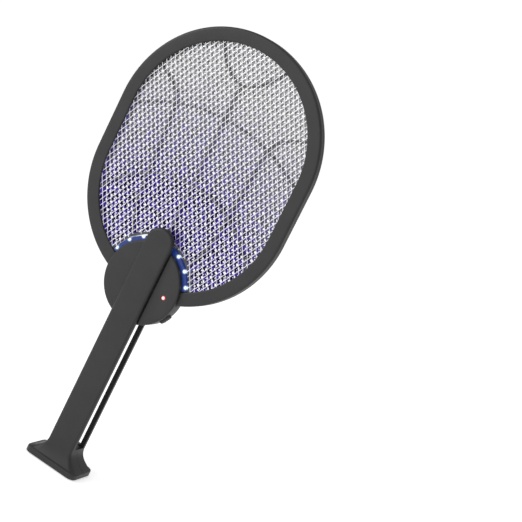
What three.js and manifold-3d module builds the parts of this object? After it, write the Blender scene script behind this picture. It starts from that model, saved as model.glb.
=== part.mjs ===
// Electric fly swatter that doubles as a standing insect lamp. Millimetres, +Z up, front towards -Y.
// Origin: centre of the foot's underside. The head is drawn fully out, at the top of its travel.
// Two flat legs rise from one flared foot. The round housing slides between them and carries the
// racket-shaped head: a two-part frame, two web guards, three electrode nets and a UV lamp.
// Shapes of the head are drawn about the housing's centre and lifted to HEAD_Z at the end.
import * as THREE from "three";
import { mergeVertices } from "three/addons/utils/BufferGeometryUtils.js";
import Module from "manifold-3d";

const wasm = await Module();
wasm.setup();

// ---- Driving dimensions ----
const HANDLE_HEIGHT = 249.4; // foot underside to the legs' round ends
const TRAVEL = 131.8; // how far the head slides down
const HEAD_Z = 194.5; // housing centre above the floor, head fully out
const LEG_HALF_WIDTH = 14.0;
const LEG_OUT_Y = 13.1; // outer face of a leg from the middle plane
const LEG_IN_Y = 8.3; // inner face of a leg
const LEG_EDGE = 1.2;
const GUIDE_HALF_X = 9.2; // open slot in the rear leg, shallow groove in the front leg
const GUIDE_BOTTOM = 24.2;
const GROOVE_DEEP = 1.5;
const FOOT_HALF_X = 29.25;
const FOOT_HALF_Y = 18.6;
const FOOT_PLATE_TOP = 6.6;
const FOOT_TOP = 23.2;
const FOOT_BOTTOM = 0.8; // the shells stop just above the rubber pad
const FOOT_CORNER = 4.5;
const LIP_X = 2.6; // step from the plate's edge in to the flare
const LIP_Y = 1.6;
const FLARE_POWER = 2.4; // how quickly the flare closes in on the legs
const PAD_HALF_X = 25.0;
const PAD_HALF_Y = 15.4;
const PAD_CLEARANCE = 0.4;
const HANDLE_SCREWS = [-9, 9]; // X of the two screws through the foot
const HANDLE_SCREW_Z = 14.5;

const HOUSING_R = 39.1;
const HOUSING_HALF_Y = 8.7;
const WALL = 1.8;
const CHANNEL_HALF_X = 15.0; // channel in each cover that a leg runs in
const CHANNEL_Y = 6.7; // channel floor from the middle plane
const CHANNEL_WALL = 1.5;
const SPLIT_GAP = 0.15; // half of the gap at a parting line
const FIT = 0.35; // clearance round a piece that passes through the housing
const SHOE_Z = -29.5; // slide shoes, below the housing's centre
const SHOE_HALF_Z = 3.5;
const SHOE_HALF_X = 8.6;
const LOW_SCREWS = [-22.5, 22.5].map((x) => [x, -25.0]); // through the covers alone
const TAB_SCREWS = [-34.0, 34.0].map((x) => [x, 2.4]); // through the frame's ends too

const RING_R = 102.5; // outer radius of the frame's round ends
const RING_WIDTH = 13.2;
const RING_EDGE = 1.6; // chamfer round both faces of the frame
const ARC_TOP_Z = 145.5; // centre of the upper round end, above the housing centre
const ARC_LOW_Z = 91.6;
const RING_FRONT_Y = -7.0;
const RING_BACK_Y = 5.0;
const NET_PLANE_Y = -1.0; // parting plane of the frame
const NET_R = 95.6; // outline that the guards and nets are cut to
const GUARD_INNER_R = 90.6; // inner edge of the guards' borders
const NET_INNER_R = 91.0;
const SPACER_INNER_R = 92.0;
const POCKET_R = 96.0;
const POCKET_FRONT_Y = -5.2;
const POCKET_BACK_Y = 3.2;
const TAB_R = 31.5; // the frame's ends reach this far into the housing
const LENS_R = 43.3;
const LENS_HALF_ANGLE = 73; // degrees from straight up
const ARCH_R = 44.6; // lower edge of guards and nets, round the housing
const ARCH_BAND = 2.0;
const RIB = 1.6;
const NET_PITCH = 38; // spacing of the coarse bars that stand for a net
const NET_BAR = 3.2;
const NET_COLUMNS = 4;
// Layers in the frame's pocket from front to back, as [front face, back face].
const FRONT_GUARD = [-5.0, -3.6];
const FRONT_NET = [-3.35, -3.1];
const FRONT_SPACER = [-2.8, -1.45];
const MIDDLE_GRID = [-1.15, -0.85];
const REAR_SPACER = [-0.55, 0.8];
const REAR_NET = [1.1, 1.35];
const REAR_GUARD = [1.6, 3.0];
const BUTTON_ANGLE = 30; // degrees below the horizontal, right-hand side
const LED_ANGLES = [-68, -48, -28, -9, 9, 28, 48, 68]; // degrees from straight up
const INDICATOR = [26.4, -1.6]; // X and Z of the indicator on the front cover
const BOARD_Y = [-2.4, -1.2];
const ARC_STEPS = 13; // flats along each drawn arc
const ROUND_SIDES = 36;
const FAR = 50; // beyond the housing's outline, for cutting tools
const FAR_OUT = 120; // beyond the frame's outline

const rad = THREE.MathUtils.degToRad;

// ---- Materials ----
function finish(color, roughness, metalness = 0) {
  return new THREE.MeshStandardMaterial({ color, roughness, metalness });
}
const charcoal = finish(0x3b3b3c, 0.55);
const blackPlastic = finish(0x161617, 0.5);
const webPlastic = finish(0x4a4a50, 0.5);
const rubber = finish(0x101010, 0.9);
const steel = finish(0xd8dadc, 0.25, 1);
const netWire = finish(0xc9cad0, 0.35, 1);
const acetal = finish(0x1b1b1d, 0.4);
const violetLens = finish(0x6a58ff, 0.15);
const ledWhite = finish(0xeaf0ff, 0.2);
const board = finish(0x16482c, 0.6);
const pouch = finish(0xb9bcc2, 0.4, 0.6);
const ferrite = finish(0x2a2522, 0.6);
const filmCap = finish(0x8c2f22, 0.4);
const redLens = finish(0xd8202a, 0.2);

// ---- Solids ----
function solid(geometry) {
  const bare = geometry.index ? geometry.toNonIndexed() : geometry;
  bare.deleteAttribute("normal");
  bare.deleteAttribute("uv");
  const merged = mergeVertices(bare, 1e-4);
  return new wasm.Manifold(
    new wasm.Mesh({
      numProp: 3,
      vertProperties: merged.attributes.position.array,
      triVerts: new Uint32Array(merged.index.array),
    }),
  );
}

function geometryOf(made) {
  const mesh = made.getMesh();
  return new THREE.BufferGeometry()
    .setAttribute("position", new THREE.BufferAttribute(mesh.vertProperties, 3))
    .setIndex(new THREE.BufferAttribute(mesh.triVerts, 1));
}

function piece(name, made, material) {
  const geometry = geometryOf(made);
  geometry.computeVertexNormals();
  const mesh = new THREE.Mesh(geometry, material);
  mesh.name = name;
  return mesh;
}

function box(x0, x1, y0, y1, z0, z1) {
  const geometry = new THREE.BoxGeometry(x1 - x0, y1 - y0, z1 - z0);
  geometry.translate((x0 + x1) / 2, (y0 + y1) / 2, (z0 + z1) / 2);
  return solid(geometry);
}

// A flat outline drawn in X and Z, given a thickness from y0 to y1.
function plate(shape, y0, y1, edge = 0) {
  const geometry = new THREE.ExtrudeGeometry(shape, {
    depth: y1 - y0 - 2 * edge,
    curveSegments: ARC_STEPS,
    bevelEnabled: edge > 0,
    bevelThickness: edge,
    bevelSize: edge,
    bevelOffset: -edge,
    bevelSegments: 1,
  });
  geometry.rotateX(Math.PI / 2);
  geometry.translate(0, y1 - edge, 0);
  return solid(geometry);
}

// A round bar along Y.
function pin(radius, y0, y1, x = 0, z = 0, sides = 12) {
  const geometry = new THREE.CylinderGeometry(radius, radius, y1 - y0, sides);
  geometry.translate(x, (y0 + y1) / 2, z);
  return solid(geometry);
}

function join(first, ...others) {
  return others.reduce((sum, next) => sum.add(next), first);
}

function cut(first, ...others) {
  return others.reduce((left, next) => left.subtract(next), first);
}

// A depth range on one side of the middle plane, low value first.
function depth(side, near, far) {
  return [side * near, side * far].sort((a, b) => a - b);
}

function mirrored(make) {
  return join(make(-1), make(1));
}

// ---- Outlines ----
function stadium(radius) {
  const shape = new THREE.Shape();
  shape.absarc(0, ARC_TOP_Z, radius, 0, Math.PI);
  shape.absarc(0, ARC_LOW_Z, radius, Math.PI, 2 * Math.PI);
  shape.closePath();
  return shape;
}

function circle(radius) {
  return new THREE.Shape().absarc(0, 0, radius, 0, 2 * Math.PI);
}

// A band between two radii round the housing centre, swept about straight up.
function arcBand(inner, outer, halfAngle) {
  const shape = new THREE.Shape();
  const up = Math.PI / 2;
  shape.absarc(0, 0, outer, up - rad(halfAngle), up + rad(halfAngle));
  shape.absarc(0, 0, inner, up + rad(halfAngle), up - rad(halfAngle), true);
  shape.closePath();
  return shape;
}

// A strip of even width along a curve in X and Z.
function ribShape(curve, steps, width = RIB) {
  const left = [];
  const right = [];
  for (let i = 0; i <= steps; i++) {
    const at = curve.getPoint(i / steps);
    const along = curve.getTangent(i / steps);
    const side = new THREE.Vector2(-along.y, along.x).multiplyScalar(width / 2);
    left.push(at.clone().add(side));
    right.push(at.clone().sub(side));
  }
  return new THREE.Shape([...right, ...left.reverse()]);
}

// A straight strip with a round upper end, as wide as a leg.
function legShape(half, bottom) {
  const roundZ = HANDLE_HEIGHT - LEG_HALF_WIDTH;
  const shape = new THREE.Shape();
  shape.moveTo(half, bottom);
  shape.lineTo(half, roundZ);
  shape.absarc(0, roundZ, half, 0, Math.PI);
  shape.lineTo(-half, bottom);
  shape.closePath();
  return shape;
}

// ---- Handle: two shells, each one leg with its half of the flared foot ----

// The foot's flare from the plate up to the legs, as a stack of rectangles joined into one skin.
function footFlare() {
  const levels = 6;
  const lipRise = 0.4;
  const rings = [[FOOT_BOTTOM, FOOT_HALF_X, FOOT_HALF_Y]];
  rings.push([FOOT_PLATE_TOP, FOOT_HALF_X, FOOT_HALF_Y]);
  const spreadX = FOOT_HALF_X - LIP_X - LEG_HALF_WIDTH;
  const spreadY = FOOT_HALF_Y - LIP_Y - LEG_OUT_Y;
  for (let i = 0; i <= levels; i++) {
    const up = i / levels;
    const curve = (1 - up) ** FLARE_POWER;
    const z = FOOT_PLATE_TOP + lipRise + up * (FOOT_TOP - FOOT_PLATE_TOP - lipRise);
    rings.push([z, LEG_HALF_WIDTH + spreadX * curve, LEG_OUT_Y + spreadY * curve]);
  }
  return loft(rings);
}

// A closed skin through rectangles given as [height, half width, half depth], corners clipped.
function loft(rings) {
  const points = [];
  const faces = [];
  const c = FOOT_CORNER;
  for (const [z, hx, hy] of rings) {
    points.push([hx, -hy + c, z], [hx, hy - c, z], [hx - c, hy, z], [-hx + c, hy, z]);
    points.push([-hx, hy - c, z], [-hx, -hy + c, z], [-hx + c, -hy, z], [hx - c, -hy, z]);
  }
  const n = 8;
  for (let r = 0; r + 1 < rings.length; r++) {
    for (let i = 0; i < n; i++) {
      const a = r * n + i;
      const b = r * n + ((i + 1) % n);
      faces.push(a, b, b + n, a, b + n, a + n);
    }
  }
  const last = (rings.length - 1) * n;
  for (let i = 1; i + 1 < n; i++) {
    faces.push(0, i + 1, i);
    faces.push(last, last + i, last + i + 1);
  }
  const geometry = new THREE.BufferGeometry();
  geometry.setAttribute("position", new THREE.Float32BufferAttribute(points.flat(), 3));
  geometry.setIndex(faces);
  return solid(geometry);
}

// The guide down a leg's inner face: right through the rear leg, shallow in the front one. Its
// upper end stops the shoe when the head is fully out.
function guideWay(side) {
  const upper = HEAD_Z + SHOE_Z + SHOE_HALF_Z + 0.4;
  const [y0, y1] = depth(side, LEG_IN_Y - 1, side < 0 ? LEG_IN_Y + GROOVE_DEEP : LEG_OUT_Y + 1);
  return box(-GUIDE_HALF_X, GUIDE_HALF_X, y0, y1, GUIDE_BOTTOM, upper);
}

function handleShell(side) {
  const [y0, y1] = depth(side, LEG_IN_Y, LEG_OUT_Y);
  const leg = plate(legShape(LEG_HALF_WIDTH, FOOT_TOP - 2), y0, y1, LEG_EDGE);
  const half = box(-FAR, FAR, ...depth(side, SPLIT_GAP, FAR), 0, FOOT_TOP + 5);
  const foot = footFlare().intersect(half);
  const padX = PAD_HALF_X + PAD_CLEARANCE;
  const padY = PAD_HALF_Y + PAD_CLEARANCE;
  const padPocket = box(-padX, padX, -padY, padY, 0, 4.0);
  const hollow = box(-19, 19, -12, 12, 3.5, 8.0);
  let shell = cut(join(leg, foot), padPocket, hollow, guideWay(side));
  for (const x of HANDLE_SCREWS) {
    shell = cut(shell, pin(1.6, -9, 14, x, HANDLE_SCREW_Z), pin(3.2, 11.3, 22, x, HANDLE_SCREW_Z));
  }
  return shell;
}

function baseCap() {
  return box(-PAD_HALF_X, PAD_HALF_X, -PAD_HALF_Y, PAD_HALF_Y, 1.8, 3.6);
}

function footPad() {
  return box(-PAD_HALF_X, PAD_HALF_X, -PAD_HALF_Y, PAD_HALF_Y, 0, 1.5);
}

function screw(length, head = 2.6, headDeep = 1.6, shank = 1.2) {
  return join(pin(head, -headDeep, 0), pin(shank, -length, -headDeep + 0.1, 0, 0, 8));
}

// ---- Head frame ----
function ringEnvelope() {
  const outer = plate(stadium(RING_R), RING_FRONT_Y, RING_BACK_Y, RING_EDGE);
  return cut(outer, plate(stadium(RING_R - RING_WIDTH), -20, 20));
}

function headFrame(side) {
  const parting = NET_PLANE_Y + side * SPLIT_GAP;
  const [y0, y1] = [parting, side * 20].sort((a, b) => a - b);
  const half = box(-FAR_OUT, FAR_OUT, y0, y1, -20, 260);
  const pocket = plate(stadium(POCKET_R), POCKET_FRONT_Y, POCKET_BACK_Y);
  const middle = pin(TAB_R, -20, 20, 0, 0, ROUND_SIDES);
  // Inside the housing the frame's ends are solid tabs, so the pocket stops short of them.
  const openPocket = cut(pocket, pin(HOUSING_R + 1.6, -20, 20, 0, 0, ROUND_SIDES));
  let frame = cut(ringEnvelope().intersect(half), openPocket, middle);
  for (const [x, z] of TAB_SCREWS) {
    frame = cut(frame, pin(1.6, -20, 20, x, z));
  }
  for (const [x, z] of frameScrewPlaces()) {
    frame = cut(frame, pin(1.2, -4.5, 20, x, z, 8), pin(2.3, RING_BACK_Y - 1.9, 20, x, z));
  }
  return frame;
}

// Seven screws round the frame, in the solid wall outside the pocket.
function frameScrewPlaces() {
  const r = (RING_R + POCKET_R) / 2 - 0.5;
  const onTop = [40, 90, 140].map((angle) => [ARC_TOP_Z, angle]);
  const below = [-8, -48, 188, 228].map((angle) => [ARC_LOW_Z, angle]);
  return [...onTop, ...below].map(([z, angle]) => [
    r * Math.cos(rad(angle)),
    z + r * Math.sin(rad(angle)),
  ]);
}

// ---- Guards and nets ----
function trimmed(shape, y0, y1) {
  return cut(plate(shape, y0, y1), pin(ARCH_R, -20, 20, 0, 0, ROUND_SIDES));
}

// The border that the frame clamps, with the arch over the housing.
function border(y0, y1, inner) {
  const rim = cut(trimmed(stadium(NET_R), y0, y1), plate(stadium(inner), -20, 20));
  const arch = plate(arcBand(ARCH_R, ARCH_R + ARCH_BAND, 80), y0, y1);
  return join(rim, arch.intersect(plate(stadium(NET_R - 0.5), y0, y1)));
}

function arcRib(radius, halfAngle) {
  return arcBand(radius - RIB / 2, radius + RIB / 2, halfAngle);
}

function sideRib(side) {
  const through = [
    [32, 33],
    [42.8, 65],
    [46.4, 105],
    [50.7, 159],
    [62, 174.5],
    [83, 184.5],
  ];
  const points = through.map(([x, z]) => new THREE.Vector2(side * x, z));
  return ribShape(new THREE.SplineCurve(points), 12);
}

function topRib() {
  const through = [
    [-36, 231],
    [-20, 210.5],
    [0, 200.8],
    [20, 210.5],
    [36, 231],
  ];
  return ribShape(new THREE.SplineCurve(through.map(([x, z]) => new THREE.Vector2(x, z))), 10);
}

// Spider-web guard that keeps fingers off the live nets.
function webGuard([y0, y1]) {
  const crownZ = 201;
  const ribs = join(
    plate(arcRib(101.0, 62), y0, y1),
    plate(arcRib(167.3, 34), y0, y1),
    mirrored((side) => plate(sideRib(side), y0, y1)),
    plate(topRib(), y0, y1),
    box(-RIB / 2, RIB / 2, y0, y1, ARCH_R, crownZ),
  );
  const inside = trimmed(stadium(NET_R - 2), y0, y1);
  return join(border(y0, y1, GUARD_INNER_R), ribs.intersect(inside));
}

// Electrode as a coarse grid of bars that stands for the fine net.
function net([y0, y1], crossed) {
  let bars = border(y0, y1, NET_INNER_R);
  const inside = trimmed(stadium(NET_R - 2), y0, y1);
  for (let i = 0; i < NET_COLUMNS; i++) {
    const x = (i - (NET_COLUMNS - 1) / 2) * NET_PITCH;
    const upright = box(x - NET_BAR / 2, x + NET_BAR / 2, y0, y1, 0, 2 * FAR_OUT);
    bars = join(bars, upright.intersect(inside));
  }
  const rows = crossed ? NET_COLUMNS : 0;
  const lowestRow = 70;
  for (let i = 0; i < rows; i++) {
    const z = lowestRow + i * NET_PITCH;
    bars = join(bars, box(-100, 100, y0, y1, z, z + NET_BAR).intersect(inside));
  }
  return bars;
}

function netSpacer([y0, y1]) {
  const inner = plate(stadium(SPACER_INNER_R), -20, 20);
  const belowLamp = box(-60, 60, -20, 20, -20, 30);
  return cut(trimmed(stadium(NET_R), y0, y1), inner, belowLamp);
}

// ---- Housing ----
// The hollow of one cover, less the wall under the channel for the leg.
function insideHousing(side) {
  const room = pin(HOUSING_R - 2, ...depth(side, -1, HOUSING_HALF_Y - WALL), 0, 0, ROUND_SIDES);
  const keep = CHANNEL_HALF_X + CHANNEL_WALL;
  const under = box(-keep, keep, ...depth(side, CHANNEL_Y - CHANNEL_WALL, FAR), -FAR, FAR);
  return cut(room, under);
}

function bosses(side, places) {
  const [y0, y1] = depth(side, SPLIT_GAP, HOUSING_HALF_Y - 1);
  return places.map(([x, z]) => pin(3.0, y0, y1, x, z));
}

function turnedDown(made, degrees) {
  const geometry = geometryOf(made);
  geometry.rotateY(rad(degrees));
  return solid(geometry);
}

// Where the frame's ends pass through the rim of the housing.
function frameWay() {
  const y0 = RING_FRONT_Y - FIT;
  const y1 = RING_BACK_Y + FIT;
  const middle = box(-25, 25, -30, 30, -FAR, FAR);
  const inner = plate(stadium(RING_R - RING_WIDTH - FIT), -30, 30);
  return cut(plate(stadium(RING_R + FIT), y0, y1), inner, middle);
}

function shoeWay(side) {
  const z0 = SHOE_Z - SHOE_HALF_Z - 0.3;
  const z1 = SHOE_Z + SHOE_HALF_Z + 0.3;
  return box(-SHOE_HALF_X - 0.3, SHOE_HALF_X + 0.3, ...depth(side, 4, 9), z0, z1);
}

function housingCover(side) {
  const shell = plate(circle(HOUSING_R), -HOUSING_HALF_Y, HOUSING_HALF_Y, 1.2);
  const half = box(-FAR, FAR, ...depth(side, SPLIT_GAP, FAR), -FAR, FAR);
  const channel = box(-CHANNEL_HALF_X, CHANNEL_HALF_X, ...depth(side, CHANNEL_Y, FAR), -FAR, FAR);
  let cover = cut(shell.intersect(half), insideHousing(side), channel);
  cover = join(cover, ...bosses(side, LOW_SCREWS));
  const lensWay = plate(arcBand(HOUSING_R - 3, HOUSING_R + 2, LENS_HALF_ANGLE + 0.6), -4.2, 4.2);
  const buttonWay = turnedDown(box(34.5, 45, -3.1, 3.1, -5.9, 5.9), BUTTON_ANGLE);
  const socketWay = turnedDown(box(-45, -34.5, -1.3, 2.7, -4.9, 4.9), -BUTTON_ANGLE);
  cover = cut(cover, frameWay(), lensWay, buttonWay, socketWay, shoeWay(side));
  if (side < 0) {
    const holes = LOW_SCREWS.map(([x, z]) => pin(1.5, -5.5, 5, x, z));
    const tabHoles = TAB_SCREWS.map(([x, z]) => pin(1.5, -7.9, 5, x, z));
    return cut(cover, ...holes, ...tabHoles, pin(2.3, -20, 0, ...INDICATOR));
  }
  const through = [...LOW_SCREWS, ...TAB_SCREWS].flatMap(([x, z]) => [
    pin(1.5, -1, 20, x, z),
    pin(2.9, HOUSING_HALF_Y - 1.9, 20, x, z),
  ]);
  return cut(cover, ...through);
}

// Acetal shoe: its foot sits inside the cover, its nose runs in the guide of the leg.
function slideShoe(side) {
  const reach = side < 0 ? LEG_IN_Y + GROOVE_DEEP - 0.3 : LEG_IN_Y + 2.2;
  const nose = depth(side, 4.0, reach);
  const foot = depth(side, 3.6, CHANNEL_Y - CHANNEL_WALL - 0.3);
  const footX = SHOE_HALF_X + 2.4;
  return join(
    box(-SHOE_HALF_X, SHOE_HALF_X, ...nose, SHOE_Z - SHOE_HALF_Z, SHOE_Z + SHOE_HALF_Z),
    box(-footX, footX, ...foot, SHOE_Z - 5.0, SHOE_Z + 5.0),
  );
}

// ---- Lamp ----
function lampLens() {
  return plate(arcBand(HOUSING_R - 2.6, LENS_R, LENS_HALF_ANGLE), -3.8, 3.8, 0.6);
}

function ledBoard() {
  return plate(arcBand(33.0, 34.0, 64), -3.0, 3.0);
}

function uvLed(angle) {
  return turnedDown(box(-1.6, 1.6, -1.5, 1.5, 34.3, 36.1), angle);
}

// ---- Electrics inside the housing ----
function mainBoard() {
  const tongueRight = turnedDown(box(20, 33.4, ...BOARD_Y, -5, 5), BUTTON_ANGLE);
  const tongueLeft = turnedDown(box(-33.4, -20, ...BOARD_Y, -5.5, 5.5), -BUTTON_ANGLE);
  const disc = pin(28.0, ...BOARD_Y, 0, 0, ROUND_SIDES);
  const bossRoom = LOW_SCREWS.map(([x, z]) => pin(3.5, -5, 5, x, z));
  return cut(join(disc, tongueRight, tongueLeft), box(-10, 10, -5, 5, -40, -22.5), ...bossRoom);
}

function batteryPack() {
  return box(-17, 17, -0.8, 4.4, -19.5, 8.5);
}

function transformer() {
  return join(box(-25, -18, -0.9, 5.4, 9, 19), box(-23.5, -19.5, 5.3, 6.5, 10.5, 17.5));
}

function capacitor() {
  return box(17, 25, -0.9, 5.6, 11, 16.5);
}

function tactSwitch() {
  return join(box(28.2, 32.6, -0.9, 2.4, -3, 3), box(32.5, 33.5, -0.3, 1.7, -1.6, 1.6));
}

function usbSocket() {
  const shell = box(-38.6, -30.5, -0.9, 2.3, -4.5, 4.5);
  const mouth = box(-40, -33.5, -0.5, 1.9, -4.1, 4.1);
  const tongue = box(-37.6, -33.0, 0.35, 1.05, -3.3, 3.3);
  return join(cut(shell, mouth), tongue);
}

function indicatorPipe() {
  return join(pin(2.0, -9.0, -5.6, ...INDICATOR), pin(2.9, -6.4, -5.2, ...INDICATOR));
}

function indicatorLed() {
  const [x, z] = INDICATOR;
  return box(x - 1.3, x + 1.3, -4.4, BOARD_Y[0] - 0.3, z - 1.3, z + 1.3);
}

function powerButton() {
  const cap = box(36.0, 41.2, -2.7, 2.7, -5.5, 5.5);
  const corners = box(40.2, 42, -4, 4, 4.6, 7);
  const otherCorners = box(40.2, 42, -4, 4, -7, -4.6);
  const flange = box(35.0, 36.4, -3.6, 3.6, -6.4, 6.4);
  return join(cut(cap, corners, otherCorners), flange);
}

// ---- Assembly ----
const swatter = new THREE.Group();
const handle = new THREE.Group();
const head = new THREE.Group();
head.position.z = HEAD_Z;
swatter.add(handle, head);

handle.add(
  piece("handle_front_shell", handleShell(-1), charcoal),
  piece("handle_rear_shell", handleShell(1), charcoal),
  piece("base_cap", baseCap(), blackPlastic),
  piece("foot_pad", footPad(), rubber),
);
HANDLE_SCREWS.forEach((x, i) => {
  const mesh = piece("handle_screw_" + (i + 1), screw(18), steel);
  mesh.position.set(x, 13.2, HANDLE_SCREW_Z);
  handle.add(mesh);
});

head.add(
  piece("head_front_frame", headFrame(-1), charcoal),
  piece("head_rear_frame", headFrame(1), charcoal),
  piece("front_web_guard", webGuard(FRONT_GUARD), webPlastic),
  piece("rear_web_guard", webGuard(REAR_GUARD), webPlastic),
  piece("front_net", net(FRONT_NET, true), netWire),
  piece("middle_grid", net(MIDDLE_GRID, false), netWire),
  piece("rear_net", net(REAR_NET, true), netWire),
  piece("front_net_spacer", netSpacer(FRONT_SPACER), acetal),
  piece("rear_net_spacer", netSpacer(REAR_SPACER), acetal),
  piece("housing_front_cover", housingCover(-1), charcoal),
  piece("housing_rear_cover", housingCover(1), charcoal),
  piece("slide_shoe_front", slideShoe(-1), acetal),
  piece("slide_shoe_rear", slideShoe(1), acetal),
  piece("lamp_lens", lampLens(), violetLens),
  piece("led_board", ledBoard(), board),
  piece("main_board", mainBoard(), board),
  piece("battery_pack", batteryPack(), pouch),
  piece("step_up_transformer", transformer(), ferrite),
  piece("storage_capacitor", capacitor(), filmCap),
  piece("indicator_light_pipe", indicatorPipe(), redLens),
  piece("indicator_led", indicatorLed(), ledWhite),
);
LED_ANGLES.forEach((angle, i) => {
  head.add(piece("uv_led_" + (i + 1), uvLed(angle), ledWhite));
});
[...LOW_SCREWS, ...TAB_SCREWS].forEach(([x, z], i) => {
  const mesh = piece("housing_screw_" + (i + 1), screw(12), steel);
  mesh.position.set(x, HOUSING_HALF_Y - 0.2, z);
  head.add(mesh);
});
frameScrewPlaces().forEach(([x, z], i) => {
  const mesh = piece("frame_screw_" + (i + 1), screw(8, 2.0, 1.4, 0.9), steel);
  mesh.position.set(x, RING_BACK_Y - 0.2, z);
  head.add(mesh);
});

const buttonSide = new THREE.Group();
buttonSide.rotation.y = rad(BUTTON_ANGLE);
buttonSide.add(
  piece("power_button", powerButton(), blackPlastic),
  piece("tact_switch", tactSwitch(), blackPlastic),
);
const socketSide = new THREE.Group();
socketSide.rotation.y = rad(-BUTTON_ANGLE);
socketSide.add(piece("usb_c_socket", usbSocket(), steel));
head.add(buttonSide, socketSide);

export default swatter;
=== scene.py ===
import math
import bmesh
import bpy
from mathutils import Matrix, Vector


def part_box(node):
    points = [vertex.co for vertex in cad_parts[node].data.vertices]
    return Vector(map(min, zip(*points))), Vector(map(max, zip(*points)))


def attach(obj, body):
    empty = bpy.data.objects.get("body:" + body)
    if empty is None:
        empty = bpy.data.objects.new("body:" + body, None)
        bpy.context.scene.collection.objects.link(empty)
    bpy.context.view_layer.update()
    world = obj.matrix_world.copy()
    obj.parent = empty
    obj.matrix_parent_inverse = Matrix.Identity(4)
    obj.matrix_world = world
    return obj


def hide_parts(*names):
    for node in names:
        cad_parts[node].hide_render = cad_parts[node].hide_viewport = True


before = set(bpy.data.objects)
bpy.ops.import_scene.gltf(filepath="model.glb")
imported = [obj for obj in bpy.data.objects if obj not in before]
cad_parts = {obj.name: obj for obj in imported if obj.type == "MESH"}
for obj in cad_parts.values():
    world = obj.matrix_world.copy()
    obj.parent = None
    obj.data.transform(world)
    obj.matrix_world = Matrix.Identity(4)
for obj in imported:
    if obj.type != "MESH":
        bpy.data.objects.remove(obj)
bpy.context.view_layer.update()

# ---- Handle shells ----
# Two mouldings in charcoal ABS, screwed together from behind, each one flat leg with its half of
# the flared foot. The head slides between the legs, guided by an open slot in the rear leg and a
# shallow groove inside the front leg.
MM = 0.001
EDGE_STEPS = 6
shell_low, shell_high = (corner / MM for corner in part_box("handle_front_shell"))
FOOT_HALF_X = shell_high.x
FOOT_HALF_Y = -shell_low.y
SHELL_BOTTOM = shell_low.z
LEG_TOP = shell_high.z
PARTING = 0.15
LEG_HALF_X = 14.0
LEG_OUT_Y = 13.1
LEG_IN_Y = 8.3
LEG_EDGE = 2.6
PLATE_TOP = 6.6
FLARE_TOP = 23.2
FLARE_POWER = 2.4
LIP_STEP = Vector((2.6, 1.6))
FOOT_CORNER = 7.0
FLARE_STEPS = 14
LEG_END_STEPS = 20
POCKET_HALF_X = 25.4
POCKET_HALF_Y = 15.8
POCKET_BOTTOM = -5.0
POCKET_TOP = 4.0


def mesh_object(name, mesh):
    made = bpy.data.objects.new(name, mesh)
    bpy.context.scene.collection.objects.link(made)
    return made


def smoothed(made, sharp_above=32):
    made.data.shade_smooth()
    made.data.set_sharp_from_angle(angle=math.radians(sharp_above))
    return made


def skin(name, rings):
    """A closed skin over rings of points in millimetres, capped at both ends."""
    form = bmesh.new()
    rows = [[form.verts.new(Vector(point) * MM) for point in ring] for ring in rings]
    count = len(rows[0])
    for lower, upper in zip(rows, rows[1:]):
        for i in range(count):
            j = (i + 1) % count
            form.faces.new((lower[i], lower[j], upper[j], upper[i]))
    form.faces.new(rows[0])
    form.faces.new(rows[-1])
    bmesh.ops.remove_doubles(form, verts=form.verts, dist=1e-6)
    bmesh.ops.dissolve_degenerate(form, edges=form.edges, dist=1e-6)
    bmesh.ops.recalc_face_normals(form, faces=form.faces)
    mesh = bpy.data.meshes.new(name)
    form.to_mesh(mesh)
    form.free()
    return mesh_object(name, mesh)


def cut_away(made, *tools, operation="DIFFERENCE"):
    """Cuts the tools out of a piece, or joins them to it, and throws the tools away."""
    for tool in tools:
        step = made.modifiers.new("cut", "BOOLEAN")
        step.operation = operation
        step.solver = "EXACT"
        step.object = tool
    bpy.context.view_layer.update()
    depsgraph = bpy.context.evaluated_depsgraph_get()
    mesh = bpy.data.meshes.new_from_object(made.evaluated_get(depsgraph))
    made.modifiers.clear()
    made.data = mesh
    mesh.name = made.name
    for tool in tools:
        bpy.data.objects.remove(tool)
    return made


def block(x0, x1, y0, y1, z0, z1):
    corners = [(x0, y0), (x1, y0), (x1, y1), (x0, y1)]
    return skin("block", [[(x, y, z) for x, y in corners] for z in (z0, z1)])


def disc(radius, y0, y1, x=0.0, z=0.0, edge=0.0, sides=96):
    """A round plate along Y, its two rims rounded by edge."""
    rings = []
    for end, away in ((y0, 1), (y1, -1)):
        turns = [i / EDGE_STEPS * math.pi / 2 for i in range(EDGE_STEPS + 1)] if edge else [0.0]
        levels = [
            (radius - edge * (1 - math.sin(turn)), end + away * edge * (1 - math.cos(turn)))
            for turn in turns
        ]
        rings += levels if away > 0 else reversed(levels)
    circle = [2 * math.pi * i / sides for i in range(sides)]
    return skin(
        "disc",
        [[(x + r * math.cos(a), y, z + r * math.sin(a)) for a in circle] for r, y in rings],
    )


def half_section(side, half_x, half_y, inner_y, edge):
    """Half of a rounded rectangle out to half_y. Each point is (inset from the side, x, y)."""
    points = [(0.0, -half_x, side * inner_y)]
    for x_way, order in ((-1, range(EDGE_STEPS + 1)), (1, range(EDGE_STEPS, -1, -1))):
        for i in order:
            turn = i / EDGE_STEPS * math.pi / 2
            inset = edge * (1 - math.cos(turn))
            depth = half_y - edge * (1 - math.sin(turn))
            points.append((inset, x_way * (half_x - inset), side * depth))
    points.append((0.0, half_x, side * inner_y))
    return points


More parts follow.
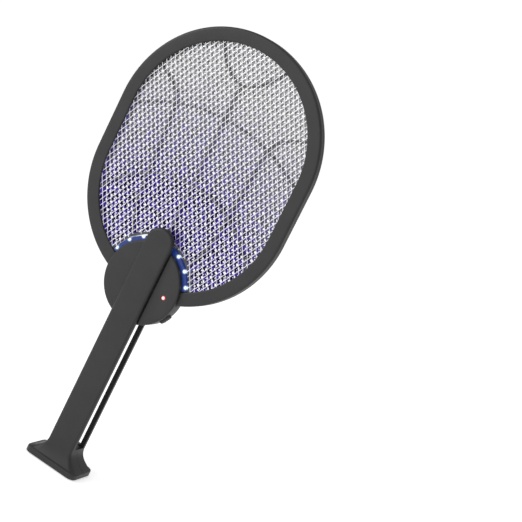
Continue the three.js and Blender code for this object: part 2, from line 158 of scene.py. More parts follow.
def handle_shell(name, side):
    rings = []

    def level(z, half_x, half_y, inner_y, edge):
        rings.append([(x, y, z) for _, x, y in half_section(side, half_x, half_y, inner_y, edge)])

    lip = 1.3
    for i in range(EDGE_STEPS + 1):
        turn = i / EDGE_STEPS * math.pi / 2
        inset = lip * 0.5 * (1 - math.sin(turn))
        z = SHELL_BOTTOM + lip * 0.5 * (1 - math.cos(turn))
        level(z, FOOT_HALF_X - inset, FOOT_HALF_Y - inset, PARTING, FOOT_CORNER - inset)
    for i in range(EDGE_STEPS + 1):
        turn = i / EDGE_STEPS * math.pi / 2
        inset = lip * (1 - math.cos(turn))
        z = PLATE_TOP - lip * (1 - math.sin(turn))
        level(z, FOOT_HALF_X - inset, FOOT_HALF_Y - inset, PARTING, FOOT_CORNER - inset)
    spread_x = FOOT_HALF_X - LIP_STEP.x - LEG_HALF_X
    spread_y = FOOT_HALF_Y - LIP_STEP.y - LEG_OUT_Y
    flare_foot = PLATE_TOP + 0.4
    for i in range(FLARE_STEPS + 1):
        up = i / FLARE_STEPS
        left = (1 - up) ** FLARE_POWER
        z = flare_foot + up * (FLARE_TOP - flare_foot)
        edge = LEG_EDGE + (FOOT_CORNER - 1.0 - LEG_EDGE) * left
        level(z, LEG_HALF_X + spread_x * left, LEG_OUT_Y + spread_y * left, PARTING, edge)
    level(FLARE_TOP, LEG_HALF_X, LEG_OUT_Y, LEG_IN_Y, LEG_EDGE)
    # The leg's round end: each point of the section turns about its own inset radius.
    end_z = LEG_TOP - LEG_HALF_X
    section = half_section(side, LEG_HALF_X, LEG_OUT_Y, LEG_IN_Y, LEG_EDGE)
    for i in range(LEG_END_STEPS + 1):
        turn = i / LEG_END_STEPS * math.pi / 2
        rings.append(
            [
                (x * math.cos(turn), y, end_z + (LEG_HALF_X - inset) * math.sin(turn))
                for inset, x, y in section
            ]
        )
    shell = skin(name, rings)
    # The closing plate sits in a pocket in the underside.
    pocket = block(
        -POCKET_HALF_X, POCKET_HALF_X, -POCKET_HALF_Y, POCKET_HALF_Y, POCKET_BOTTOM, POCKET_TOP
    )
    return cut_away(shell, pocket)


def window(half_x, z0, z1, y0, y1, corner):
    """A cutting tool along Y with a rounded rectangle for its outline."""
    middle = (z0 + z1) / 2
    outline = rounded_rectangle(half_x, (z1 - z0) / 2, corner)
    return skin("window", [[(x, y, middle + z) for x, z in outline] for y in (y0, y1)])


def rounded_rectangle(half_x, half_y, corner, steps=8):
    points = []
    for quarter, (x_way, y_way) in enumerate(((1, 1), (-1, 1), (-1, -1), (1, -1))):
        for i in range(steps + 1):
            turn = (quarter + i / steps) * math.pi / 2
            x = x_way * (half_x - corner) + corner * math.cos(turn)
            y = y_way * (half_y - corner) + corner * math.sin(turn)
            points.append((x, y))
    return points


SCREW_Z = 14.5
SCREW_X = 9.0
SCREW_SEAT_R = 3.2
SCREW_SEAT_Y = 11.3
GUIDE_HALF_X = 9.2
GUIDE_BOTTOM = 24.2
GUIDE_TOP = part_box("slide_shoe_front")[1].z / MM - 1.1
GUIDE_CORNER = 1.0
GROOVE_DEPTH = 1.5


def new_node(tree, kind, values=None, **settings):
    """A node with its settings, and a value or a socket to join for each input that is named."""
    made = tree.nodes.new(kind)
    for setting, value in settings.items():
        setattr(made, setting, value)
    for label, value in (values or {}).items():
        if isinstance(value, bpy.types.NodeSocket):
            tree.links.new(value, made.inputs[label])
        else:
            made.inputs[label].default_value = value
    return made


def object_place(tree):
    """A socket with the place on the object, in metres."""
    return tree.nodes.new("ShaderNodeTexCoord").outputs["Object"]


def two_tints(tree, cloud, dark, bright, start=0.0, end=1.0):
    """A socket with a colour that goes from dark to bright with a cloud's value."""
    tint = new_node(tree, "ShaderNodeValToRGB", {"Fac": cloud.outputs["Fac"]})
    for stop, place, colour in zip(tint.color_ramp.elements, (start, end), (dark, bright)):
        stop.position = place
        stop.color = (*colour, 1.0)
    return tint.outputs["Color"]


def spread(tree, value, low, high, start=0.0, end=1.0):
    """A socket that goes from low to high while value goes from start to end."""
    limits = {"Value": value, "From Min": start, "From Max": end, "To Min": low, "To Max": high}
    return new_node(tree, "ShaderNodeMapRange", limits).outputs["Result"]


def mixed(tree, factor, first, second):
    """A socket with a colour between two, each a socket or a colour."""
    values = {"Factor": factor, "A": first, "B": second}
    return new_node(tree, "ShaderNodeMix", values, data_type="RGBA").outputs["Result"]


def new_material(name):
    """An empty material, with its node tree and its shader."""
    material = bpy.data.materials.new(name)
    material.use_nodes = True
    return material, material.node_tree, material.node_tree.nodes["Principled BSDF"]


def painted(made, material):
    """Gives a whole piece one material."""
    made.data.materials.clear()
    made.data.materials.append(material)
    return made


def moulded(name, colour, rough, grain=0.35, grain_size=0.5, shine=0.5, worn=1.6):
    """Moulded plastic: fine spark-eroded grain, cloudy gloss and slightly rubbed, paler edges."""
    material, tree, shader = new_material(name)
    shader.inputs["Specular IOR Level"].default_value = shine
    place = object_place(tree)
    cloud = new_node(tree, "ShaderNodeTexNoise", {"Vector": place, "Scale": 55.0, "Detail": 4.0})
    fine_scale = 1.0 / (grain_size * MM)
    fine = new_node(tree, "ShaderNodeTexNoise", {"Vector": place, "Scale": fine_scale, "Detail": 2.0})
    dark = [c * 0.86 for c in colour]
    bright = [c * 1.14 for c in colour]
    tint = two_tints(tree, cloud, dark, bright, 0.3, 0.7)
    edges = tree.nodes.new("ShaderNodeNewGeometry")
    rubbed = spread(tree, edges.outputs["Pointiness"], 0.0, 0.6, 0.52, 0.62)
    paler = (*[min(1.0, c * worn) for c in colour], 1.0)
    bump_values = {"Height": fine.outputs["Fac"], "Strength": grain, "Distance": 0.05 * MM}
    bump = new_node(tree, "ShaderNodeBump", bump_values)
    gloss = spread(tree, cloud.outputs["Fac"], rough - 0.07, rough + 0.07)
    tree.links.new(mixed(tree, rubbed, tint, paler), shader.inputs["Base Color"])
    tree.links.new(gloss, shader.inputs["Roughness"])
    tree.links.new(bump.outputs["Normal"], shader.inputs["Normal"])
    return material


charcoal = moulded("charcoal ABS", (0.0175, 0.0175, 0.018), rough=0.47, shine=0.36)

front_shell = handle_shell("front_leg_and_foot", -1)
groove_floor = -LEG_IN_Y - GROOVE_DEPTH
groove = window(GUIDE_HALF_X, GUIDE_BOTTOM, GUIDE_TOP, groove_floor, 0.0, GUIDE_CORNER)
cut_away(front_shell, groove)
smoothed(painted(front_shell, charcoal))
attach(front_shell, "handle")
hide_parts("handle_front_shell")

rear_shell = handle_shell("rear_leg_and_foot", 1)
open_slot = window(GUIDE_HALF_X, GUIDE_BOTTOM, GUIDE_TOP, 0.5, 20.0, GUIDE_CORNER)
cut_away(rear_shell, open_slot)
screw_seats = [
    disc(SCREW_SEAT_R, SCREW_SEAT_Y, 26.0, x, SCREW_Z, sides=32) for x in (-SCREW_X, SCREW_X)
]
cut_away(rear_shell, *screw_seats)
smoothed(painted(rear_shell, charcoal))
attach(rear_shell, "handle")
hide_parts("handle_rear_shell")

# ---- Closing plate and rubber pad ----
# A black plastic plate closes the foot from below. The soft rubber pad glued to it is what the
# lamp stands on: rounded corners and a rolled edge.


def refinish(node, material):
    """Gives a CAD node that keeps its shape its real finish."""
    painted(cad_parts[node], material)


black_plastic = moulded("black ABS", (0.012, 0.012, 0.013), rough=0.45)
refinish("base_cap", black_plastic)

pad_low, pad_high = (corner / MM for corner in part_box("foot_pad"))
rubber = moulded("soft black rubber", (0.011, 0.011, 0.011), rough=0.85, grain=0.8, shine=0.25)


def slab(name, half_x, half_y, corner, z0, z1, edge):
    """A flat block with rounded corners, its top and bottom edges rounded too."""
    levels = []
    for i in range(EDGE_STEPS + 1):
        turn = i / EDGE_STEPS * math.pi / 2
        levels.append((edge * (1 - math.sin(turn)), z0 + edge * (1 - math.cos(turn))))
    levels += [(inset, z1 - (z - z0)) for inset, z in reversed(levels)]
    return skin(
        name,
        [
            [(x, y, z) for x, y in rounded_rectangle(half_x - d, half_y - d, corner - d)]
            for d, z in levels
        ],
    )


foot_pad = slab("rubber_foot_pad", pad_high.x, pad_high.y, 3.0, pad_low.z, pad_high.z, 0.5)
smoothed(painted(foot_pad, rubber))
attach(foot_pad, "handle")
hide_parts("foot_pad")

# ---- Head frame ----
# Front and rear mouldings that clamp the guards and nets between them. Each is one profile
# carried round a stadium: a rounded outer bead and a lip over the pocket for the nets.
HEAD_Z = 194.5
ARC_TOP = 145.5
ARC_LOW = 91.6
RING_R = 102.5
RING_INNER_R = 89.3
RING_MIDDLE_R = (RING_R + RING_INNER_R) / 2
POCKET_R = 96.0
RING_FRONT = 7.0
RING_BACK = -5.0
RING_PARTING = 1.0
RING_START = 20.5
FRONT_LIP = 5.2
REAR_LIP = -3.2


def new_tree(name, **inputs):
    """An empty Geometry Nodes tree with named inputs, given as label=(socket type, value)."""
    tree = bpy.data.node_groups.new(name, "GeometryNodeTree")
    tree.interface.new_socket("Shape", in_out="INPUT", socket_type="NodeSocketGeometry")
    for label, (kind, value) in inputs.items():
        socket = tree.interface.new_socket(label, in_out="INPUT", socket_type=kind)
        if value is not None:
            socket.default_value = value
    tree.interface.new_socket("Shape", in_out="OUTPUT", socket_type="NodeSocketGeometry")
    return tree, tree.nodes.new("NodeGroupInput"), tree.nodes.new("NodeGroupOutput")


def end_tree(tree, given, result, shape):
    """Ends a tree: makes its instances real and gives them the material that was passed in."""
    real = new_node(tree, "GeometryNodeRealizeInstances", {"Geometry": shape})
    values = {"Geometry": real.outputs["Geometry"], "Material": given.outputs["material"]}
    paint = new_node(tree, "GeometryNodeSetMaterial", values)
    tree.links.new(paint.outputs["Geometry"], result.inputs["Shape"])


def grown(name, tree, **settings):
    """Runs a tree with these inputs and keeps what it makes as a plain mesh."""
    host = mesh_object(name, bpy.data.meshes.new(name))
    growth = host.modifiers.new("growth", "NODES")
    growth.node_group = tree
    for item in tree.interface.items_tree:
        if item.in_out == "INPUT" and item.name in settings:
            growth[item.identifier] = settings[item.name]
    bpy.context.view_layer.update()
    depsgraph = bpy.context.evaluated_depsgraph_get()
    mesh = bpy.data.meshes.new_from_object(host.evaluated_get(depsgraph))
    host.modifiers.clear()
    host.data = mesh
    mesh.name = name
    return host


# The strip tree carries a flat profile along a path drawn flat, then stands the result upright.
strip_tree, given, result = new_tree(
    "strip along a path",
    path=("NodeSocketObject", None),
    profile=("NodeSocketObject", None),
    lift=("NodeSocketVector", (0.0, 0.0, HEAD_Z * MM)),
    material=("NodeSocketMaterial", None),
)
strip_path = new_node(strip_tree, "GeometryNodeObjectInfo", {"Object": given.outputs["path"]})
strip_section = {"Object": given.outputs["profile"]}
strip_profile = new_node(strip_tree, "GeometryNodeObjectInfo", strip_section)
strip_sweep = new_node(
    strip_tree,
    "GeometryNodeCurveToMesh",
    {
        "Curve": strip_path.outputs["Geometry"],
        "Profile Curve": strip_profile.outputs["Geometry"],
        "Fill Caps": True,
    },
)
strip_stand = new_node(
    strip_tree,
    "GeometryNodeTransform",
    {
        "Geometry": strip_sweep.outputs["Mesh"],
        "Translation": given.outputs["lift"],
        "Rotation": (math.pi / 2, 0.0, 0.0),
    },
)
end_tree(strip_tree, given, result, strip_stand.outputs["Geometry"])


def drawn(paths, looped):
    """A curve object from lists of flat points in millimetres."""
    curve = bpy.data.curves.new("drawn", "CURVE")
    curve.dimensions = "3D"
    curve.twist_mode = "Z_UP"
    for points in paths:
        line = curve.splines.new("POLY")
        line.points.add(len(points) - 1)
        for spot, (x, y) in zip(line.points, points):
            spot.co = (x * MM, y * MM, 0.0, 1.0)
        line.use_cyclic_u = looped
    made = bpy.data.objects.new("drawn", curve)
    bpy.context.scene.collection.objects.link(made)
    return made


def strip(name, paths, profile, material):
    """A closed strip of one section. In the profile, x is outwards and y is towards the front."""
    path = drawn(paths, False)
    section = drawn([profile], True)
    made = grown(name, strip_tree, path=path, profile=section, material=material)
    bpy.data.objects.remove(path)
    bpy.data.objects.remove(section)
    form = bmesh.new()
    form.from_mesh(made.data)
    bmesh.ops.remove_doubles(form, verts=form.verts, dist=1e-7)
    bmesh.ops.recalc_face_normals(form, faces=form.faces)
    form.to_mesh(made.data)
    form.free()
    return made


def arc(centre_z, radius, start, end, steps):
    """Points from start to end degrees, counted from straight up towards +X."""
    turns = [math.radians(start + (end - start) * i / steps) for i in range(steps + 1)]
    return [(radius * math.sin(t), centre_z + radius * math.cos(t)) for t in turns]


def stadium(radius, bottom_gap, steps=64):
    """The frame's outline, from the lower right by the top to the lower left."""
    right = arc(ARC_LOW, radius, 180 - bottom_gap, 90, steps)
    top = arc(ARC_TOP, radius, 90, -90, 2 * steps)
    left = arc(ARC_LOW, radius, -90, bottom_gap - 180, steps)
    return right + top + left


def rounded(corners, steps=5):
    """A flat outline from corners (x, y, radius), each rounded by its radius."""
    outline = []
    count = len(corners)
    for i, (x, y, radius) in enumerate(corners):
        here = Vector((x, y))
        if radius == 0:
            outline.append((x, y))
            continue
        before = (Vector(corners[i - 1][:2]) - here).normalized()
        after = (Vector(corners[(i + 1) % count][:2]) - here).normalized()
        reach = radius / math.tan(before.angle(after) / 2)
        first = here + before * reach
        last = here + after * reach
        for k in range(steps + 1):
            t = k / steps
            spot = first * (1 - t) ** 2 + here * 2 * t * (1 - t) + last * t**2
            outline.append((spot.x, spot.y))
    return outline


def frame_profile(parting, face, lip):
    """One half of the frame in section: the bead outside and the lip that holds the nets."""
    outer = RING_R - RING_MIDDLE_R
    inner = RING_INNER_R - RING_MIDDLE_R
    pocket = POCKET_R - RING_MIDDLE_R
    return rounded(
        [
            (outer, parting, 0.3),
            (outer, face, 2.6),
            (inner, face, 1.6),
            (inner, lip, 0),
            (pocket, lip, 0),
            (pocket, parting, 0),
        ]
    )


for node, name, parting, face, lip in (
    ("head_front_frame", "front_frame", RING_PARTING + PARTING, RING_FRONT, FRONT_LIP),
    ("head_rear_frame", "rear_frame", RING_PARTING - PARTING, RING_BACK, REAR_LIP),
):
    path = [stadium(RING_MIDDLE_R, RING_START)]
    half = strip(name, path, frame_profile(parting, face, lip), charcoal)
    smoothed(half)
    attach(half, "head")
    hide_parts(node)

# ---- Web guards ----
# A spider web of slim ribs over each side keeps fingers off the live nets. Each is one moulding
# in dark grey ABS, its border clamped in the frame and its arch standing over the lamp.
BORDER_R = 93.3
BORDER_HALF = 2.3
ARCH_R = 45.6
ARCH_END = 76
ARCH_HALF = 1.0
RIB_HALF = 0.8
web_plastic = moulded("dark grey ABS", (0.045, 0.045, 0.05), rough=0.42, shine=0.5)


def in_window(point, margin=0.0):
    """True where the head is open: inside the border and outside the arch over the housing."""
    x, z = point
    beyond = max(0.0, z - ARC_TOP) - max(0.0, ARC_LOW - z)
    return math.hypot(x, beyond) < BORDER_R - margin and math.hypot(x, z) > ARCH_R + margin - 1.0


def blend(p, q, r, s, t):
    """A value between q and r, with p and s either side of them, on a Catmull-Rom curve."""
    slope = (r - p) * t
    square = (2 * p - 5 * q + 4 * r - s) * t**2
    cube = (3 * q - p - 3 * r + s) * t**3
    return 0.5 * (2 * q + slope + square + cube)


def spline(points, steps=10):
    """A smooth curve through points."""
    ends = [points[0], *points, points[-1]]
    curve = []
    for a, b, c, d in zip(ends, ends[1:], ends[2:], ends[3:]):
        for k in range(steps):
            curve.append(tuple(blend(*four, k / steps) for four in zip(a, b, c, d)))
    return [*curve, points[-1]]


def web_ribs():
    """The ribs' middle lines: two arcs, a bent pair at the sides, the crown and the upright."""
    side = spline([(32, 33), (42.8, 65), (46.4, 105), (50.7, 159), (62, 174.5), (83, 184.5)])
    crown = spline([(-36, 231), (-20, 210.5), (0, 200.8), (20, 210.5), (36, 231)])
    lines = [
        arc(0, 101.0, -62, 62, 60),
        arc(0, 167.3, -34, 34, 50),
        side,
        [(-x, z) for x, z in side],
        crown,
        [(0, 45), (0, 200.8)],
    ]
    return [[point for point in line if in_window(point)] for line in lines]


def border_lines():
    """The border's middle line, which starts where it comes clear of the arch."""
    gap = 0
    while not in_window(arc(ARC_LOW, BORDER_R - 0.1, 180 - gap, 180 - gap, 1)[0]):
        gap += 1
    return [stadium(BORDER_R, gap)]


def arch_lines():
    """The arch's middle line over the housing."""
    return [arc(0, ARCH_R, -ARCH_END, ARCH_END, 60)]


def bar(half_width, low, high, edge):
    """A bar's section between two depths, measured towards the front from the middle plane."""
    corners = [(-half_width, low), (half_width, low), (half_width, high), (-half_width, high)]
    return rounded([(x, y, edge) for x, y in corners], 2)


def joined(name, parts):
    """Several closed parts moulded or welded into one piece."""
    form = bmesh.new()
    for part in parts:
        form.from_mesh(part.data)
    mesh = parts[0].data.copy()
    mesh.name = name
    form.to_mesh(mesh)
    form.free()
    for part in parts:
        bpy.data.objects.remove(part)
    return mesh_object(name, mesh)


for node, name, low, high in (
    ("front_web_guard", "front_web", 3.6, 5.0),
    ("rear_web_guard", "rear_web", -3.0, -1.6),
):
    web = joined(
        name,
        [
            strip("ribs", web_ribs(), bar(RIB_HALF, low, high, 0.4), web_plastic),
            strip("rim", border_lines(), bar(BORDER_HALF, low, high, 0.2), web_plastic),
            strip("arch", arch_lines(), bar(ARCH_HALF, low, high, 0.4), web_plastic),
        ],
    )
    smoothed(web)
    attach(web, "head")
    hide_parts(node)

# ---- Nets ----
# Three electrodes of expanded metal, slit and stretched into diamonds: upright ones in the outer
# two and flat, smaller ones in the live middle net. The lamp's violet light on them is painted
# light, an emission in the metal strongest just above the arch, with a painted glint in front of
# each diode. Near the arch their colour also turns violet-grey on the front net and near black on
# the inner two.
PAINTED_LIGHT_START = 0.095
PAINTED_LIGHT_REACH = 0.200
LED_ANGLES = (-68, -48, -28, -9, 9, 28, 48, 68)
GLINT_R = 42.6
GLINT_REACH = 6.5
NET_THICK = 0.3
NET_RIM_HALF = 0.12


def brushed(name, colour, rough, grain=(40.0, 40.0, 900.0), depth=0.12):
    """Rolled metal: long scratches along the strip, and patches where it is a little duller."""
    material, tree, shader = new_material(name)
    shader.inputs["Metallic"].default_value = 1.0
    place = object_place(tree)
    stretch = new_node(tree, "ShaderNodeMapping", {"Vector": place, "Scale": grain})
    scratch_values = {"Vector": stretch.outputs["Vector"], "Scale": 12.0, "Detail": 5.0}
    scratch = new_node(tree, "ShaderNodeTexNoise", scratch_values)
    patch = new_node(tree, "ShaderNodeTexNoise", {"Vector": place, "Scale": 70.0})
    tint = two_tints(tree, patch, [c * 0.85 for c in colour], colour)
    gloss = spread(tree, patch.outputs["Fac"], rough - 0.06, rough + 0.10)
    bump_values = {"Height": scratch.outputs["Fac"], "Strength": depth, "Distance": 0.02 * MM}
    bump = new_node(tree, "ShaderNodeBump", bump_values)
    tree.links.new(tint, shader.inputs["Base Color"])
    tree.links.new(gloss, shader.inputs["Roughness"])
    tree.links.new(bump.outputs["Normal"], shader.inputs["Normal"])
    return material


def way_across(tree, place, spot):
    """A socket with the distance from a spot in millimetres, without regard to depth."""
    flat_values = {0: place, 1: (1.0, 0.0, 1.0)}
    flat = new_node(tree, "ShaderNodeVectorMath", flat_values, operation="MULTIPLY")
    away_values = {0: flat.outputs[0], 1: Vector(spot) * MM}
    away = new_node(tree, "ShaderNodeVectorMath", away_values, operation="DISTANCE")
    return away.outputs["Value"]


def near_diodes(tree, place, reach):
    """A socket that is 1 in front of each lamp diode and 0 further than reach from all of them."""
    nearest = None
    for angle in LED_ANGLES:
        turn = math.radians(angle)
        spot = (GLINT_R * math.sin(turn), 0.0, HEAD_Z + GLINT_R * math.cos(turn))
        away = way_across(tree, place, spot)
        if nearest:
            both = {0: nearest, 1: away}
            away = new_node(tree, "ShaderNodeMath", both, operation="MINIMUM").outputs[0]
        nearest = away
    fade_values = {"Value": nearest, "From Max": reach * MM, "To Min": 1.0, "To Max": 0.0}
    fade = new_node(
        tree, "ShaderNodeMapRange", fade_values, interpolation_type="SMOOTHERSTEP"
    )
    return fade.outputs["Result"]


def lit_metal(name, colour, near_colour, rough, painted_lamp_light):
    """Metal with the lamp's violet light painted on as an emission near the arch, and its colour turned
    to near_colour there: plain metal further up.
    """
    material = brushed(name, colour, rough, grain=(300.0, 300.0, 300.0), depth=0.3)
    tree = material.node_tree
    shader = tree.nodes["Principled BSDF"]
    shader.inputs["Emission Strength"].default_value = 1.0
    plain = shader.inputs["Base Color"].links[0].from_socket
    place = object_place(tree)
    # Painted lamp light: a violet emission in patches that fades out between the two distances from the
    # housing's centre. The base colour turns to near_colour over the same distances.
    far_values = {0: place, 1: (0.0, 0.0, HEAD_Z * MM)}
    far = new_node(tree, "ShaderNodeVectorMath", far_values, operation="DISTANCE")
    near = spread(tree, far.outputs["Value"], 1.0, 0.0, PAINTED_LIGHT_START, PAINTED_LIGHT_REACH)
    patch = new_node(tree, "ShaderNodeTexNoise", {"Vector": place, "Scale": 170.0, "Detail": 1.0})
    patches = spread(tree, patch.outputs["Fac"], 0.12, 1.0, 0.46, 0.60)
    patchy = new_node(tree, "ShaderNodeMath", {0: near, 1: patches}, operation="MULTIPLY")
    light = mixed(tree, patchy.outputs[0], (0.0, 0.0, 0.0, 1.0), (*painted_lamp_light, 1.0))
    # Painted glint: a pale blue-white emission on the net in front of each lamp diode.
    glint = mixed(tree, near_diodes(tree, place, GLINT_REACH), light, (0.7, 0.8, 1.0, 1.0))
    shade = mixed(tree, near, plain, (*near_colour, 1.0))
    tree.links.new(shade, shader.inputs["Base Color"])
    tree.links.new(glint, shader.inputs["Emission Color"])
    return material


# Painted lamp light on all three: a violet emission near the arch. On the front net the near colour is
# a painted violet tint as well. On the inner two it is near black, so those nets are darker towards the
# arch.
net_metal = lit_metal(
    "bright net metal",
    colour=(0.62, 0.62, 0.63),
    near_colour=(0.60, 0.59, 0.66),
    rough=0.35,
    painted_lamp_light=(0.01, 0.006, 0.04),
)
deep_metal = lit_metal(
    "inner net metal",
    colour=(0.33, 0.33, 0.34),
    near_colour=(0.004, 0.004, 0.005),
    rough=0.4,
    painted_lamp_light=(0.045, 0.022, 0.26),
)

# The net tree sets one diamond crossing on every point of a staggered grid inside the border.
net_tree, given, result = new_tree(
    "expanded net",
    crossing=("NodeSocketObject", None),
    step_x=("NodeSocketFloat", 0.0),
    step_z=("NodeSocketFloat", 0.0),
    width=("NodeSocketFloat", 0.2),
    height=("NodeSocketFloat", 0.26),
    depth=("NodeSocketFloat", 0.0),
    edge_radius=("NodeSocketFloat", 0.0),
    arch_radius=("NodeSocketFloat", 0.0),
    upper_centre=("NodeSocketFloat", ARC_TOP * MM),
    lower_centre=("NodeSocketFloat", ARC_LOW * MM),
    material=("NodeSocketMaterial", None),
)


def net_sum(operation, *terms):
    """One arithmetic node in the net tree. Each term is a socket or a number."""
    values = dict(enumerate(terms))
    return new_node(net_tree, "ShaderNodeMath", values, operation=operation).outputs[0]


def net_length(a, b):
    return net_sum("SQRT", net_sum("ADD", net_sum("MULTIPLY", a, a), net_sum("MULTIPLY", b, b)))


net_step_x = given.outputs["step_x"]
net_step_z = given.outputs["step_z"]
net_columns = net_sum("CEIL", net_sum("DIVIDE", given.outputs["width"], net_step_x))
net_rows = net_sum("CEIL", net_sum("DIVIDE", given.outputs["height"], net_step_z))
net_column_pairs = net_sum("FLOOR", net_sum("DIVIDE", net_columns, 2.0))
net_odd_columns = net_sum("MULTIPLY_ADD", net_column_pairs, 2.0, 1.0)
net_size_x = net_sum("MULTIPLY", net_sum("SUBTRACT", net_odd_columns, 1.0), net_step_x)
net_size_y = net_sum("MULTIPLY", net_sum("SUBTRACT", net_rows, 1.0), net_step_z)
net_grid = new_node(
    net_tree,
    "GeometryNodeMeshGrid",
    {
        "Vertices X": net_odd_columns,
        "Vertices Y": net_rows,
        "Size X": net_size_x,
        "Size Y": net_size_y,
    },
)
net_place = net_tree.nodes.new("GeometryNodeInputPosition")
net_parts = new_node(net_tree, "ShaderNodeSeparateXYZ", {"Vector": net_place.outputs["Position"]})
net_x = net_parts.outputs["X"]
net_y = net_parts.outputs["Y"]
# Rows are counted from the grid's low edge, and every other row is moved by half a step.
net_from_low = net_sum("ADD", net_y, net_sum("MULTIPLY", net_size_y, 0.5))
net_row = net_sum("ROUND", net_sum("DIVIDE", net_from_low, net_step_z))
net_half_step = net_sum("MULTIPLY", net_step_x, 0.5)
net_stagger = net_sum("MULTIPLY", net_sum("MODULO", net_row, 2.0), net_half_step)
net_upper = given.outputs["upper_centre"]
net_lower = given.outputs["lower_centre"]
net_raise = net_sum("MULTIPLY", net_sum("ADD", net_upper, net_lower), 0.5)
net_shift = new_node(net_tree, "ShaderNodeCombineXYZ", {"X": net_stagger, "Y": net_raise})
net_move = new_node(
    net_tree,
    "GeometryNodeSetPosition",
    {"Geometry": net_grid.outputs["Mesh"], "Offset": net_shift.outputs["Vector"]},
)
net_above = net_sum("MAXIMUM", net_sum("SUBTRACT", net_y, net_upper), 0.0)
net_below = net_sum("MAXIMUM", net_sum("SUBTRACT", net_lower, net_y), 0.0)
net_from_axis = net_length(net_x, net_sum("ADD", net_above, net_below))
net_outside = net_sum("GREATER_THAN", net_from_axis, given.outputs["edge_radius"])
net_under_arch = net_sum("LESS_THAN", net_length(net_x, net_y), given.outputs["arch_radius"])
net_trim = new_node(
    net_tree,
    "GeometryNodeDeleteGeometry",
    {
        "Geometry": net_move.outputs["Geometry"],
        "Selection": net_sum("MAXIMUM", net_outside, net_under_arch),
    },
)
net_unit = new_node(net_tree, "GeometryNodeObjectInfo", {"Object": given.outputs["crossing"]})
net_set = new_node(
    net_tree,
    "GeometryNodeInstanceOnPoints",
    {"Points": net_trim.outputs["Geometry"], "Instance": net_unit.outputs["Geometry"]},
)
net_copies = {"Geometry": net_set.outputs["Instances"]}
net_real = new_node(net_tree, "GeometryNodeRealizeInstances", net_copies)
net_weld = new_node(
    net_tree,
    "GeometryNodeMergeByDistance",
    {"Geometry": net_real.outputs["Geometry"], "Distance": 0.01 * MM},
)
net_lift = new_node(net_tree, "ShaderNodeCombineXYZ", {"Y": given.outputs["depth"], "Z": HEAD_Z * MM})
net_stand = new_node(
    net_tree,
    "GeometryNodeTransform",
    {
        "Geometry": net_weld.outputs["Geometry"],
        "Translation": net_lift.outputs["Vector"],
        "Rotation": (math.pi / 2, 0.0, 0.0),
    },
)
end_tree(net_tree, given, result, net_stand.outputs["Geometry"])


def crossing(step_x, step_z, strand, thick):
    """Four half strands that meet in a cross, ridged on both faces, open at their ends."""
    reach = Vector((step_x / 4, step_z / 4))
    along = reach.normalized()
    across = Vector((-along.y, along.x)) * strand / 2
    waist_x = strand / 2 / along.y
    waist_z = strand / 2 / along.x
    form = bmesh.new()

    def spot(x, y, z=0.0):
        return form.verts.new((x * MM, y * MM, z * MM))

    top = spot(0, 0, thick / 2)
    low = spot(0, 0, -thick / 2)
    waists = [spot(waist_x, 0), spot(0, waist_z), spot(-waist_x, 0), spot(0, -waist_z)]
    for quarter, (x_way, y_way) in enumerate(((1, 1), (-1, 1), (-1, -1), (1, -1))):
        right = waists[quarter]
        left = waists[(quarter + 1) % 4]
        tip = Vector((x_way * reach.x, y_way * reach.y))
        turn = Vector((-tip.y, tip.x)).normalized() * across.length
        right_tip = spot(*(tip - turn))
        left_tip = spot(*(tip + turn))
        high_tip = spot(*tip, thick / 2)
        low_tip = spot(*tip, -thick / 2)
        form.faces.new((top, right, right_tip, high_tip))
        form.faces.new((top, high_tip, left_tip, left))
        form.faces.new((low, low_tip, right_tip, right))
        form.faces.new((low, left, left_tip, low_tip))
    mesh = bpy.data.meshes.new("crossing")
    form.to_mesh(mesh)
    form.free()
    return mesh_object("crossing", mesh)


def expanded_net(name, step_x, step_z, strand, thick, depth, material):
    """A sheet of diamonds grown inside the border, its cut strands closed at their ends."""
    unit = crossing(step_x, step_z, strand, thick)
    made = grown(
        name,
        net_tree,
        crossing=unit,
        step_x=step_x * MM,
        step_z=step_z / 2 * MM,
        depth=depth * MM,
        edge_radius=(BORDER_R - 1.5) * MM,
        arch_radius=ARCH_R * MM,
        material=material,
    )
    bpy.data.objects.remove(unit)
    form = bmesh.new()
    form.from_mesh(made.data)
    bmesh.ops.holes_fill(form, edges=[edge for edge in form.edges if edge.is_boundary], sides=4)
    bmesh.ops.recalc_face_normals(form, faces=form.faces)
    form.to_mesh(made.data)
    form.free()
    return made


for node, name, step_x, step_z, strand, depth, material in (
    ("front_net", "front_expanded_net", 5.0, 8.66, 0.62, -3.22, net_metal),
    ("middle_grid", "live_middle_net", 6.93, 4.0, 1.15, -1.0, deep_metal),
    ("rear_net", "rear_expanded_net", 5.0, 8.66, 1.5, 1.22, deep_metal),
):
    sheet = expanded_net(name + "_mesh", step_x, step_z, strand, NET_THICK, depth, material)
    low = -depth - NET_RIM_HALF
    high = -depth + NET_RIM_HALF
    rim = strip("rim", border_lines(), bar(BORDER_HALF, low, high, 0.05), material)
    arch = strip("arch", arch_lines(), bar(ARCH_HALF, low, high, 0.05), material)
    net = joined(name, [sheet, rim, arch])
    smoothed(net, 60)
    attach(net, "head")
    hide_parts(node)

# ---- Net spacers and slide shoes ----
# Black acetal, moulded: two thin spacers hold the nets apart in the pocket, and two shoes fixed
# in the housing run in the rear leg's open slot and the front leg's groove.
acetal = moulded("black acetal", (0.02, 0.02, 0.021), rough=0.35, grain=0.15)
for node in ("front_net_spacer", "rear_net_spacer", "slide_shoe_front", "slide_shoe_rear"):
    refinish(node, acetal)

